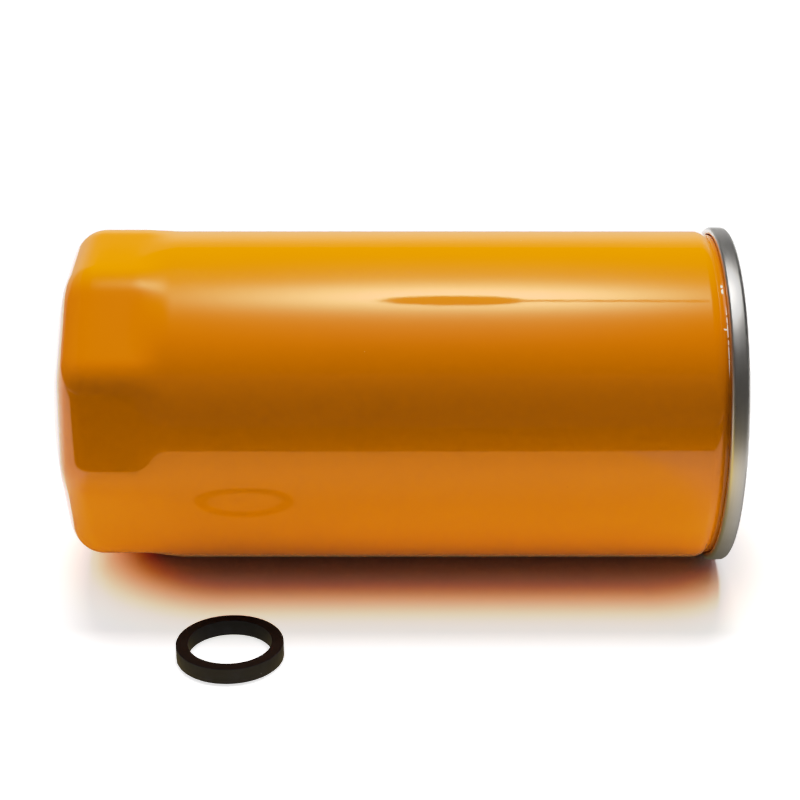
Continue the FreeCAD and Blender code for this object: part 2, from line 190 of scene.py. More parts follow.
class Finish:
    """A material whose nodes are added by expressions."""

    def __init__(self, name):
        self.material = bpy.data.materials.get(name) or bpy.data.materials.new(name)
        self.material.use_nodes = True
        self.tree = self.material.node_tree
        self.tree.nodes.clear()
        self.output = self.tree.nodes.new("ShaderNodeOutputMaterial")
        self.place = self.node("TexCoord", output="Object")
        split = self.node("SeparateXYZ", {}, {0: self.place})
        self.x, self.y, self.z = (Wire(self, split.socket.node.outputs[axis]) for axis in "XYZ")

    def node(self, kind, settings=None, inputs=None, output=0):
        """Adds a node: its settings are set first, then its inputs, as values or wires."""
        made = self.tree.nodes.new("ShaderNode" + kind)
        for name, value in (settings or {}).items():
            setattr(made, name, value)
        for name, value in (inputs or {}).items():
            if isinstance(value, Wire):
                self.tree.links.new(value.socket, made.inputs[name])
            else:
                made.inputs[name].default_value = value
        return Wire(self, made.outputs[output])

    def maths(self, operation, *values):
        """A Math node on numbers or wires."""
        return self.node("Math", {"operation": operation}, dict(enumerate(values)))

    def radius(self):
        """Distance from the filter's axis."""
        return (self.y * self.y + self.z * self.z) ** 0.5

    def turn(self):
        """Angle about the filter's axis in degrees: 0 towards -Y, 90 towards +Z."""
        return self.maths("ARCTAN2", self.z, 0.0 - self.y) * math.degrees(1)

    def vector(self, x, y, z):
        return self.node("CombineXYZ", {}, {"X": x, "Y": y, "Z": z})

    def scaled(self, wire, factors):
        """A place or vector with each of its parts times its own factor."""
        return self.node("VectorMath", {"operation": "MULTIPLY"}, {0: wire, 1: factors})

    def lit(self, shade, strength):
        """A colour times a strength that varies over the surface."""
        return self.node("VectorMath", {"operation": "SCALE"}, {0: shade, "Scale": strength})

    def noise(self, scale, detail=2.0, roughness=0.5, at=None):
        inputs = {"Vector": at or self.place, "Scale": scale, "Detail": detail, "Roughness": roughness}
        return self.node("TexNoise", {}, inputs)

    def cells(self, scale, at=None, output="Distance"):
        return self.node("TexVoronoi", {}, {"Vector": at or self.place, "Scale": scale}, output)

    def specks(self, spacing, size, share):
        """Small round marks: their spacing and radius, and the share of places that have one."""
        near = self.cells(1 / spacing)
        pick = self.node("SeparateColor", {}, {0: self.cells(1 / spacing, output="Color")})
        return near.rise(size / spacing, 0.6 * size / spacing) * (pick < share)

    def mix(self, factor, first, second):
        """Blends two colours, each a wire or three numbers."""
        inputs = {"Factor": factor, 6: self.rgba(first), 7: self.rgba(second)}
        return self.node("Mix", {"data_type": "RGBA"}, inputs, 2)

    @staticmethod
    def rgba(shade):
        return shade if isinstance(shade, Wire) else (*tuple(shade)[:3], 1.0)

    def bump(self, height, depth, under=None):
        """A relief of that depth in metres, over another one."""
        inputs = {"Height": height, "Distance": depth, "Strength": 1.0}
        if under is not None:
            inputs["Normal"] = under
        return self.node("Bump", {}, inputs)

    def shade(self, **inputs):
        """Ends the material with its surface shader."""
        named = {name.replace("_", " "): value for name, value in inputs.items()}
        fixed = {name: self.rgba(value) if name == "Base Color" else value for name, value in named.items()}
        shader = self.node("BsdfPrincipled", {}, fixed)
        self.tree.links.new(shader.socket, self.output.inputs["Surface"])
        return self.material

    def glow(self, light, strength=1.0):
        """Ends the material as a light-giving card; only its light's colour may vary over it."""
        shader = self.node("Emission", {}, {"Color": self.rgba(light), "Strength": strength})
        self.tree.links.new(shader.socket, self.output.inputs["Surface"])
        return self.material


def tint(shade, factor):
    """A lighter or darker version of a colour, never above white."""
    return tuple(min(1.0, part * factor) for part in tuple(shade)[:3])


SCORE_TURNS = (-66.0, -41.0)  # where the score starts and ends, in degrees about the axis
SCORE_X = -2.7 * MM
SCORE_X_TURN = 50.0  # the score is at SCORE_X at this many degrees below the front
SCORE_LEAN = -0.03 * MM  # along X for each degree
SCORE_HALF_WIDTH = 0.09 * MM
GROOVE_SHADE = (-2.2 * MM, -0.9 * MM)  # painted shade darkens the paint from the first X to the second
RUBS = (  # bare patches: X span and its soft edge in mm, turn span and its soft edge in degrees, raggedness
    ((-1.05, -0.85), 0.06, (30.0, 52.0), 3.0, 0.42),
    ((-1.7, -1.2), 0.1, (59.0, 62.5), 0.6, 0.4),
    ((-2.0, -1.2), 0.1, (44.4, 44.9), 0.2, 0.0),
)
BARE_METAL = (0.86, 0.8, 0.68)
PALE_NIB = (0.95, 0.6, 0.25)


def paint_finish(shade):
    """Glossy baked enamel with fine orange peel, dust nibs, a score, painted shade in the groove, and rubs
    along the seam.
    """
    f = Finish("canister_enamel")
    turn = f.turn()
    cloud = f.noise(35.0, 3.0)
    base = f.mix(cloud, tint(shade, 0.975), tint(shade, 1.02))
    nibs = f.specks(9.0 * MM, 0.2 * MM, 0.3)
    base = f.mix(nibs * 0.45, base, tint(shade, 0.35))
    pale = f.specks(14.0 * MM, 0.18 * MM, 0.25)
    base = f.mix(pale * 0.35, base, PALE_NIB)
    # A fine dark score that runs round the shoulder of the neck.
    score_x = (turn + SCORE_X_TURN) * SCORE_LEAN + SCORE_X
    score = (abs(f.x - score_x) < SCORE_HALF_WIDTH) * turn.band(*SCORE_TURNS, 0.8)
    base = f.mix(score * 0.8, base, tint(shade, 0.1))
    # Painted shade darkens and dulls the groove beside the seam.
    groove_shade = f.x.rise(*GROOVE_SHADE)
    base = f.mix(groove_shade * 0.6, base, tint(shade, 0.3))
    # Paint rubbed down to bright metal beside the seam: a thin edge, one sliver and one tick.
    grit = f.noise(700.0, 3.0, 0.6)
    bare = None
    for (x_low, x_high), x_edge, turns, turn_edge, raggedness in RUBS:
        rub = f.x.band(x_low * MM, x_high * MM, x_edge * MM) * turn.band(*turns, turn_edge)
        rub = (grit > raggedness) * rub
        bare = rub if bare is None else bare.larger(rub)
    base = f.mix(bare, base, BARE_METAL)
    peel = f.noise(620.0, 1.5, 0.4)
    ripple = f.noise(210.0, 1.0, 0.4)
    relief = f.bump(peel, 2.6e-6)
    relief = f.bump(ripple, 5.0e-6, relief)
    relief = f.bump(nibs + pale, 2.0e-5, relief)
    rough = 0.045 + cloud * 0.025 + groove_shade * 0.12 + bare * 0.2
    return f.shade(Base_Color=base, Roughness=rough, Metallic=0.09, IOR=1.42, Normal=relief)


def primer_finish():
    """Thin grey-gold lacquer on the inside of the can."""
    f = Finish("can_inner_lacquer")
    wear = f.noise(120.0, 4.0)
    base = f.mix(wear, (0.42, 0.36, 0.25), (0.52, 0.47, 0.36))
    return f.shade(Base_Color=base, Roughness=0.32 + wear * 0.15, Metallic=0.7, Normal=f.bump(wear, 6e-6))


def plated_finish(name, shade, shine=0.24, pits=0.25):
    """Zinc or bare steel with turning marks that run round the axis, dull patches and small pits."""
    f = Finish(name)
    across, along = 900.0, 25.0  # how closely the turning marks follow each other, and how long they are
    marks_at = f.vector(f.x * across, f.y * along + f.radius() * across, f.z * along)
    marks = f.noise(1.0, 3.0, 0.6, marks_at)
    patches = f.noise(60.0, 4.0, 0.6)
    pitted = f.specks(4.0 * MM, 0.16 * MM, pits)
    stained = patches.rise(0.5, 0.75)
    base = f.mix(marks, tint(shade, 0.86), tint(shade, 1.08))
    base = f.mix(stained * 0.35, base, tint(shade, 0.72))
    base = f.mix(pitted * 0.7, base, tint(shade, 0.25))
    rough = shine + marks * 0.12 + stained * 0.1 + pitted * 0.3
    relief = f.bump(marks, 3.0e-6)
    relief = f.bump(1.0 - pitted, 2.5e-5, relief)
    return f.shade(Base_Color=base, Roughness=rough, Metallic=1.0, Normal=relief)


DUST = (0.42, 0.38, 0.34)


def rubber_finish(name, shade, rough=0.42, dust=0.3, gloss=0.5, mote=0.08 * MM):
    """Moulded rubber: fine mottled skin, faint bloom, and specks of dust."""
    f = Finish(name)
    skin = f.noise(1500.0, 3.0, 0.6)
    bloom = f.noise(160.0, 4.0, 0.6)
    motes = f.specks(1.9 * MM, mote, dust)
    base = f.mix(bloom.rise(0.4, 0.8), shade, tint(shade, 1.9))
    base = f.mix(motes * 0.7, base, DUST)
    relief = f.bump(skin, 6.0e-6)
    relief = f.bump(motes, 3.0e-5, relief)
    rough = rough + bloom * 0.16
    return f.shade(Base_Color=base, Roughness=rough, IOR=1.5, Specular_IOR_Level=gloss, Normal=relief)


def paper_finish(shade):
    """Resin-treated paper: fibres, pores and a slight mottle."""
    f = Finish("filter_paper")
    fibre_at = f.scaled(f.place, (260.0, 900.0, 900.0))
    fibres = f.noise(1.0, 5.0, 0.7, fibre_at)
    mottle = f.noise(45.0, 3.0)
    base = f.mix(fibres, tint(shade, 0.72), tint(shade, 1.12))
    base = f.mix(mottle * 0.3, base, tint(shade, 0.75))
    return f.shade(Base_Color=base, Roughness=0.82, Normal=f.bump(fibres, 4.0e-5))


def adhesive_finish(name, shade):
    """Cured adhesive: waxy, slightly lumpy, with trapped bubbles."""
    f = Finish(name)
    lumps = f.noise(220.0, 3.0)
    bubbles = f.specks(2.2 * MM, 0.25 * MM, 0.5)
    base = f.mix(lumps, tint(shade, 0.85), tint(shade, 1.08))
    base = f.mix(bubbles * 0.4, base, tint(shade, 1.3))
    relief = f.bump(lumps - bubbles * 0.3, 6.0e-5)
    return f.shade(Base_Color=base, Roughness=0.38 + lumps * 0.12, IOR=1.48, Normal=relief)


def wire_finish():
    """Drawn spring wire: oiled, dark, with fine drawing marks."""
    f = Finish("spring_wire")
    marks = f.noise(1.0, 2.0, 0.5, f.scaled(f.place, (1400.0, 300.0, 300.0)))
    stain = f.noise(90.0, 3.0)
    base = f.mix(marks, (0.22, 0.2, 0.18), (0.42, 0.4, 0.37))
    base = f.mix(stain.rise(0.5, 0.8) * 0.4, base, (0.2, 0.12, 0.07))
    relief = f.bump(marks, 4.0e-6)
    return f.shade(Base_Color=base, Roughness=0.26 + stain * 0.2, Metallic=1.0, Normal=relief)


# ---------------------------------------------------------------- mesh helpers


BEND_STEPS = 5


class Outline:
    """A line of points in a half plane through the X axis, drawn by moving its tip."""

    def __init__(self, x, radius, bend=0.0):
        self.bm = bmesh.new()
        self.tip = self.bm.verts.new((x, 0.0, radius))
        self.start = self.tip
        self.rounds = [(self.tip, bend)] if bend else []

    def line(self, x, radius, steps=1, bend=0.0):
        """A straight run in equal steps; bend rounds the corner at its end."""
        step = (Vector((x, 0.0, radius)) - self.tip.co) / steps
        for _ in range(steps):
            made = bmesh.ops.extrude_vert_indiv(self.bm, verts=[self.tip])
            self.tip = made["verts"][0]
            self.tip.co += step
        if bend:
            self.rounds.append((self.tip, bend))
        return self

    def through(self, rows):
        """Straight runs through rows of X, radius and bend in millimetres."""
        for x, radius, bend in rows:
            self.line(x * MM, radius * MM, bend=bend * MM)
        return self

    def arc(self, centre, degrees, steps):
        """A run round a centre given as (x, radius); a tip behind the centre goes outwards and to +X."""
        made = bmesh.ops.spin(
            self.bm, geom=[self.tip], cent=(centre[0], 0.0, centre[1]), axis=(0, 1, 0),
            dvec=(0, 0, 0), angle=math.radians(degrees), steps=steps,
        )
        self.tip = made["geom_last"][0]
        return self

    def close(self):
        """Joins the tip to the start."""
        self.bm.edges.new((self.tip, self.start))
        return self

    def round_corners(self):
        for corner, bend in self.rounds:
            first, second = (edge.other_vert(corner).co - corner.co for edge in corner.link_edges)
            turn = math.pi - first.angle(second)
            bmesh.ops.bevel(
                self.bm, geom=[corner], offset=bend * math.tan(turn / 2), offset_type="OFFSET",
                segments=BEND_STEPS, profile=0.5, affect="VERTICES", material=-1,
            )

    def revolve(self, steps, start_turn=0.0):
        """Turns the outline all the way round the X axis, from start_turn past +Z, into a surface."""
        self.round_corners()
        bm = self.bm
        start = Matrix.Rotation(start_turn, 3, "X")
        bmesh.ops.rotate(bm, verts=bm.verts[:], cent=(0, 0, 0), matrix=start)
        bmesh.ops.spin(
            bm, geom=bm.verts[:] + bm.edges[:], cent=(0, 0, 0), axis=(1, 0, 0), dvec=(0, 0, 0),
            angle=math.tau, steps=steps, use_merge=True,
        )
        bmesh.ops.remove_doubles(bm, verts=bm.verts[:], dist=MERGE)
        bmesh.ops.recalc_face_normals(bm, faces=bm.faces[:])
        return bm


def thicken(bm, thickness, outer_face):
    """Gives a middle surface its wall, half to each side, and returns the faces of the inner side."""
    votes = sum(1 if outer_face(face) else -1 for face in bm.faces)
    if votes < 0:
        bmesh.ops.reverse_faces(bm, faces=bm.faces[:])
    bm.normal_update()
    for vert in bm.verts:
        vert.co += vert.normal * (thickness / 2)
    skin = set(bm.faces)
    bmesh.ops.solidify(bm, geom=bm.faces[:], thickness=thickness)
    return [face for face in bm.faces if face not in skin]


def join(bm, other):
    """Adds the other bmesh to bm, and frees the other."""
    mesh = bpy.data.meshes.new("joined")
    other.to_mesh(mesh)
    other.free()
    bm.from_mesh(mesh)
    bpy.data.meshes.remove(mesh)


def open_edges(bm, x, reach=1.0):
    """The edges at x, within that radius, that have a face on one side only."""
    found = []
    for edge in bm.edges:
        level = all(abs(vert.co.x - x) < 10 * MERGE and vert.co.yz.length < reach for vert in edge.verts)
        if level and len(edge.link_faces) == 1:
            found.append(edge)
    return found


WIRE_SIDES = 16
COIL_STEPS = 64  # to a turn


def helix(bm, geom, runs, steps):
    """Winds geom about the X axis; each run is a number of turns and its pitch."""
    for turns, pitch in runs:
        made = bmesh.ops.spin(
            bm, geom=geom, cent=(0, 0, 0), axis=(1, 0, 0), dvec=(pitch / steps, 0, 0),
            angle=math.tau * turns, steps=round(steps * turns),
        )
        geom = made["geom_last"]


def coil(wire, radius, x, runs):
    """A round-wire spring whose first turn starts at x; wire and radius are its wire's and its coil's."""
    bm = bmesh.new()
    bmesh.ops.create_circle(bm, cap_ends=False, radius=wire, segments=WIRE_SIDES)
    across = Matrix.Rotation(math.pi / 2, 3, "X")
    bmesh.ops.rotate(bm, verts=bm.verts[:], cent=(0, 0, 0), matrix=across)
    bmesh.ops.translate(bm, verts=bm.verts[:], vec=(x + wire, 0, radius))
    helix(bm, bm.verts[:] + bm.edges[:], runs, COIL_STEPS)
    bmesh.ops.remove_doubles(bm, verts=bm.verts[:], dist=MERGE)
    bmesh.ops.holes_fill(bm, edges=bm.edges[:], sides=0)
    bmesh.ops.recalc_face_normals(bm, faces=bm.faces[:])
    return bm


def mesh_object(name, bm, materials):
    """Makes an object of a bmesh, and frees the bmesh."""
    mesh = bpy.data.meshes.new(name)
    bm.to_mesh(mesh)
    bm.free()
    for material in materials:
        mesh.materials.append(material)
    made = bpy.data.objects.new(name, mesh)
    bpy.context.scene.collection.objects.link(made)
    return made


def piece(name, bm, body, materials, replaced, sharp=40.0):
    """Makes an object of a bmesh, in place, ties it to its CAD body, and hides the nodes that it replaces.
    """
    bm.normal_update()
    made = mesh_object(name, bm, materials)
    made.data.shade_smooth()
    made.data.set_sharp_from_angle(angle=math.radians(sharp))
    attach(made, body)
    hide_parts(*replaced)
    return made


def sizes():
    return bpy.context.scene.oil_filter_sizes


def colours():
    return bpy.context.scene.oil_filter_colours


# ---------------------------------------------------------------- canister

FIRST_CORNER = 28.0  # degrees from -Y towards +Z, to the first corner between two wrench flats
FLAT_END = -157.9 * MM
RAMP_END = -149.5 * MM
RAMP_SOFTNESS = 1.4 * MM
RAMP_MARGIN = 1.5 * MM  # finely divided wall beyond each end of the ramp
RAMP_SAMPLES = 9
ROUND_CENTRE = 0.4  # share of the body's radius within which the dome stays round
ROUND_FADE = 0.4  # share of it over which the flats come in around that
WALL_MIDDLE = -100.0 * MM
DOME_STEPS = 20
CORNER_STEPS = 14
ROUND_STEPS = 300  # about the axis; the lid has the same ones, so that its hook and the can's meet
ROUND_START = math.radians(90.0 - FIRST_CORNER)
NECK = (  # middle line of the neck and of the hook inside the seam: x, radius, bend
    (-3.5, 46.2, 4.3),
    (-1.7, 44.85, 0.9),
    (3.35, 44.85, 0.6),
    (3.35, 46.25, 0.6),
    (0.4, 46.25, 0.0),
)


def flats_radius(turn, s):
    """Distance from the axis to the rounded outline of the wrench flats, at that turn in degrees."""
    sector = 360.0 / s.flat_count
    from_corner = math.radians(abs((turn - FIRST_CORNER + sector / 2) % sector - sector / 2))
    half = math.radians(sector / 2)
    corner_centre = (s.flat_distance - s.flat_corner) / math.cos(half)
    arc_end = math.atan2(s.flat_corner * math.sin(half), corner_centre + s.flat_corner * math.cos(half))
    if from_corner > arc_end:
        return s.flat_distance / math.cos(half - from_corner)
    reach = math.sqrt(s.flat_corner**2 - (corner_centre * math.sin(from_corner)) ** 2)
    return corner_centre * math.cos(from_corner) + reach


def clamped(value):
    return min(1.0, max(0.0, value))


def soft_ramp(x):
    """1 on the wrench flats, 0 on the round wall, straight between them with softened ends."""
    total = 0.0
    for index in range(RAMP_SAMPLES):
        shifted = x + RAMP_SOFTNESS * (2 * index / (RAMP_SAMPLES - 1) - 1)
        total += clamped((RAMP_END - shifted) / (RAMP_END - FLAT_END))
    return total / RAMP_SAMPLES


def press_flats(bm, s):
    """Moves the closed end's points in or out, so that the round wall becomes the wrench flats."""
    for vert in bm.verts:
        radius = math.hypot(vert.co.y, vert.co.z)
        outwards = clamped((radius / s.body_radius - ROUND_CENTRE) / ROUND_FADE)
        share = soft_ramp(vert.co.x) * outwards * outwards * (3.0 - 2.0 * outwards)
        if share > 0:
            turn = math.degrees(math.atan2(vert.co.z, -vert.co.y))
            factor = 1 + share * (flats_radius(turn, s) / s.body_radius - 1)
            vert.co.y *= factor
            vert.co.z *= factor


def faces_outwards(face):
    return face.calc_center_median().yz.dot(face.normal.yz) > 0


class OILFILTER_OT_canister(Operator):
    """Builds the painted canister: dome, wrench flats, round wall, neck and seam hook"""

    bl_idname = "oilfilter.canister"
    bl_label = "Canister"

    def execute(self, context):
        s = sizes()
        half_sheet = s.can_sheet / 2
        wall = s.body_radius - half_sheet
        dome = s.dome_radius - half_sheet
        corner = s.dome_corner - half_sheet
        dome_centre = CLOSED_END + s.dome_radius
        corner_radius = s.body_radius - s.dome_corner
        lean = math.asin(corner_radius / (dome - corner))
        corner_x = dome_centre - (dome - corner) * math.cos(lean)
        line = Outline(dome_centre - dome, 0.0)
        line.arc((dome_centre, 0.0), math.degrees(lean), DOME_STEPS)
        line.arc((corner_x, corner_radius), 90.0 - math.degrees(lean), CORNER_STEPS)
        line.line(FLAT_END - RAMP_MARGIN, wall, 4)
        line.line(RAMP_END + RAMP_MARGIN, wall, 16)
        line.line(WALL_MIDDLE, wall, 3)
        bm = line.through(NECK).revolve(ROUND_STEPS, ROUND_START)
        press_flats(bm, s)
        bm.normal_update()
        inner = thicken(bm, s.can_sheet, faces_outwards)
        for face in inner:
            face.material_index = 1
        materials = [paint_finish(colours().paint), primer_finish()]
        piece("canister_shell", bm, "housing", materials, ["canister"])
        return {"FINISHED"}


# ---------------------------------------------------------------- lid

LID_START = (2.5 * MM, 30.05 * MM)  # the inner edge: x, radius
LID = (  # middle line of the lid, from there through the gasket's channel and over the seam: x, radius, bend
    (0.35, 30.05, 0.6),
    (0.35, 36.3, 0.6),
    (2.9, 36.3, 0.8),
    (2.9, 41.0, 0.9),
    (-1.4, 41.0, 0.9),
    (-1.4, 44.15, 0.9),
    (4.05, 44.15, 0.95),
    (4.05, 46.95, 0.95),
    (-0.25, 46.95, 0.65),
    (-0.25, 45.55, 0.65),
    (2.7, 45.55, 0.0),
)


class OILFILTER_OT_lid(Operator):
    """Builds the seaming lid, with the gasket's channel and the rolled rim"""

    bl_idname = "oilfilter.lid"
    bl_label = "Seaming lid"

    def execute(self, context):
        bm = Outline(*LID_START).through(LID).revolve(ROUND_STEPS, ROUND_START)
        bm.normal_update()
        thicken(bm, sizes().lid_sheet, lambda face: face.normal.x > 0)
        zinc = plated_finish("zinc_plating", colours().zinc, 0.33)
        piece("rolled_lid", bm, "housing", [zinc], ["seaming_lid"])
        return {"FINISHED"}


# ---------------------------------------------------------------- gasket

GASKET_BORE = 30.45 * MM
GASKET_FACE_EDGE = 0.8 * MM
GASKET_BACK_EDGE = 0.3 * MM
GASKET_STEPS = 180


class OILFILTER_OT_gasket(Operator):
    """Builds the outer gasket that sits in the lid's channel"""

    bl_idname = "oilfilter.gasket"
    bl_label = "Outer gasket"

    def execute(self, context):
        low, high = GASKET_LOW.x, GASKET_HIGH.x
        outer = GASKET_HIGH.y
        line = Outline(low, GASKET_BORE, GASKET_BACK_EDGE)
        line.line(high, GASKET_BORE, bend=GASKET_FACE_EDGE)
        line.line(high, outer, bend=GASKET_FACE_EDGE)
        line.line(low, outer, bend=GASKET_BACK_EDGE)
        bm = line.close().revolve(GASKET_STEPS)
        rubber = rubber_finish("gasket_rubber_black", colours().rubber)
        piece("mounting_gasket", bm, "housing", [rubber], ["outer_gasket"])
        return {"FINISHED"}


# ---------------------------------------------------------------- base plate

PLATE_STEPS = 120
PLATE_BACK = -4.0 * MM
PLATE_CHAMFER = 0.5 * MM
NECK_RADIUS = 14.0 * MM
NECK_FLARE = 2.0 * MM  # flat ring left around the neck's foot for its fillet
BORE_EASE = 0.02 * MM  # how far the chamfers' inner edges stay off the thread's roots
INLET_COUNT = 8
INLET_RADIUS = 3.25 * MM
INLET_CIRCLE = 22.0 * MM
INLET_STEPS = 32
THREAD_MARGIN = 0.9 * MM  # from each end of the bore to where the full thread starts
THREAD_LEAD = 1.07  # pitches wound before the thread's start, and cut away
THREAD_FORM = (0.125, 0.4375, 0.6875)  # shares of a pitch where a root ends, and its crest starts and ends
THREAD_STEPS = 72


def tapped_bore(s):
    """The thread's surface between its two chamfers: right-hand, with flat crests and roots."""
    pitch = s.thread_pitch
    back, front = PLATE_LOW.x + THREAD_MARGIN, PLATE_HIGH.x - THREAD_MARGIN
    start = back - THREAD_LEAD * pitch
    turns = math.ceil((front - start) / pitch)
    root_end, crest_start, crest_end = (start + share * pitch for share in THREAD_FORM)
    line = Outline(start, s.thread_radius)
    line.line(root_end, s.thread_radius)
    line.line(crest_start, s.thread_minor)
    line.line(crest_end, s.thread_minor)
    line.line(start + pitch, s.thread_radius)
    bm = line.bm
    helix(bm, bm.verts[:] + bm.edges[:], [(turns, pitch)], THREAD_STEPS)
    bmesh.ops.remove_doubles(bm, verts=bm.verts[:], dist=MERGE)
    for x, outwards in ((back, -1), (front, 1)):
        bmesh.ops.bisect_plane(
            bm, geom=bm.verts[:] + bm.edges[:] + bm.faces[:], plane_co=(x, 0, 0),
            plane_no=(outwards, 0, 0), clear_outer=True,
        )
    return bm


def inlet_hole(index):
    """The chamfered wall of one inlet hole, at its place on the circle."""
    front = PLATE_HIGH.x
    hole = Outline(front, INLET_RADIUS + PLATE_CHAMFER).line(front - PLATE_CHAMFER, INLET_RADIUS)
    hole.line(PLATE_BACK + PLATE_CHAMFER, INLET_RADIUS).line(PLATE_BACK, INLET_RADIUS + PLATE_CHAMFER)
    bm = hole.revolve(INLET_STEPS)
    turn = math.tau * (index + 0.5) / INLET_COUNT
    place = (0, -INLET_CIRCLE * math.cos(turn), INLET_CIRCLE * math.sin(turn))
    bmesh.ops.translate(bm, verts=bm.verts[:], vec=place)
    return bm


class OILFILTER_OT_base_plate(Operator):
    """Builds the threaded base plate with its drawn neck and inlet holes"""

    bl_idname = "oilfilter.base_plate"
    bl_label = "Base plate"

    def execute(self, context):
        s = sizes()
        front, neck_end, rim = PLATE_HIGH.x, PLATE_LOW.x, PLATE_HIGH.z
        chamfer = PLATE_CHAMFER
        bore = s.thread_radius + BORE_EASE
        edge = Outline(front, rim - chamfer).line(front - chamfer, rim).line(PLATE_BACK + chamfer, rim)
        bm = edge.line(PLATE_BACK, rim - chamfer).revolve(PLATE_STEPS)
        neck = Outline(PLATE_BACK, NECK_RADIUS + NECK_FLARE).line(PLATE_BACK, NECK_RADIUS, bend=1.5 * MM)
        neck.line(neck_end, NECK_RADIUS, bend=0.6 * MM).line(neck_end, s.thread_radius + chamfer)
        neck.line(neck_end + chamfer, bore)
        join(bm, neck.revolve(PLATE_STEPS))
        mouth = Outline(front, s.thread_radius + chamfer).line(front - chamfer, bore)
        join(bm, mouth.revolve(PLATE_STEPS))
        join(bm, tapped_bore(s))
        for end, inwards in ((front, -1), (neck_end, 1)):
            edges = open_edges(bm, end + inwards * chamfer, NECK_RADIUS)
            edges += open_edges(bm, end + inwards * THREAD_MARGIN, NECK_RADIUS)
            bmesh.ops.bridge_loops(bm, edges=edges)
        for index in range(INLET_COUNT):
            join(bm, inlet_hole(index))
        for x, way in ((front, 1), (PLATE_BACK, -1)):
            bmesh.ops.triangle_fill(bm, use_beauty=True, edges=open_edges(bm, x), normal=(way, 0, 0))
        bmesh.ops.remove_doubles(bm, verts=bm.verts[:], dist=MERGE)
        bmesh.ops.recalc_face_normals(bm, faces=bm.faces[:])
        steel = plated_finish("machined_steel", colours().steel, 0.3)
        piece("threaded_base_plate", bm, "housing", [steel], ["base_plate"], sharp=30.0)
        return {"FINISHED"}


# ---------------------------------------------------------------- anti-drain valve

VALVE_BORE = 11.2 * MM
VALVE_EDGE = 0.4 * MM
VALVE_STEPS = 144
VALVE = (  # section of the diaphragm, from its collar out to the lip and back: x, radius, bend
    (-15.4, 18.6, 0.4),
    (-14.05, 18.6, 0.4),
    (-14.05, 15.6, 0.3),
    (-10.8, 15.6, 0.8),
    (-9.30, 19.20, 0.3),
    (-9.39, 19.90, 0.3),
    (-8.84, 20.31, 0.3),
    (-7.95, 22.45, 0.3),
    (-8.04, 23.15, 0.3),
    (-7.49, 23.56, 0.3),
    (-5.4, 28.6, 0.4),
    (-4.05, 28.8, 0.3),
    (-4.05, 27.4, 0.3),
    (-9.0, 15.2, 0.5),
    (-8.6, 14.05, 0.15),
    (-14.05, 14.05, 0.3),
    (-14.05, 11.2, 0.3),
)


class OILFILTER_OT_drain_flap(Operator):
    """Builds the rubber diaphragm over the inlet holes"""

    bl_idname = "oilfilter.drain_flap"
    bl_label = "Anti-drain valve"

    def execute(self, context):
        low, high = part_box("anti_drain_valve")
        bm = Outline(low.x, VALVE_BORE, VALVE_EDGE).through(VALVE).close().revolve(VALVE_STEPS)
        silicone = rubber_finish("valve_silicone", colours().valve, 0.36, 0.1)
        flap = piece("drain_flap", bm, "anti_drain_flap", [silicone], ["anti_drain_valve"])
        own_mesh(flap)
        return {"FINISHED"}


# ---------------------------------------------------------------- springs

SPRINGS = (  # piece, node, body, wire's radius, turns closed at each end and open, joint, travel, fixed end
    ("element_coil", "element_spring", "housing", 1.0 * MM, 0.75, 2.0, "element_float", 3.0 * MM, "low"),
    ("bypass_coil", "bypass_spring", "element", 0.5 * MM, 1.0, 4.0, "bypass_open", 4.0 * MM, "high"),
)
CLOSED_PITCH = 2.04  # of the closed turns, in wire radii


class OILFILTER_OT_springs(Operator):
    """Builds the two coil springs, with closed end turns"""

    bl_idname = "oilfilter.springs"
    bl_label = "Springs"

    def execute(self, context):
        finish = wire_finish()
        for name, node, body, wire, end_turns, open_turns, joint, travel, fixed_end in SPRINGS:
            low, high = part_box(node)
            span = high.x - low.x
            closed = CLOSED_PITCH * wire
            rise = span - 2 * wire - closed * 2 * end_turns
            runs = [(end_turns, closed), (open_turns, rise / open_turns), (end_turns, closed)]
            bm = coil(wire, high.z - wire, low.x, runs)
            made = piece(name, bm, body, [finish], [node])
            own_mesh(made)
        return {"FINISHED"}


# ---------------------------------------------------------------- loose seal

SEAL_BORE_EDGE = 0.16 * MM
SEAL_RIM_EDGE = 0.22 * MM
SEAL_STEPS = 200
SEAL_MOTE = 0.14 * MM
SEAL_WAVES = ((900.0, 0.05 * MM), (90.0, 0.09 * MM))  # unevenness: how close together, and how deep
BORE_SHARE = 0.4  # of the unevenness
# The sides' colour is bluer than the rubber's own: a painted correction that cancels the warm reflection of
# the table that they show.
SEAL_SIDE_TINTED_AGAINST_SHEEN = (0.0045, 0.0045, 0.0075)


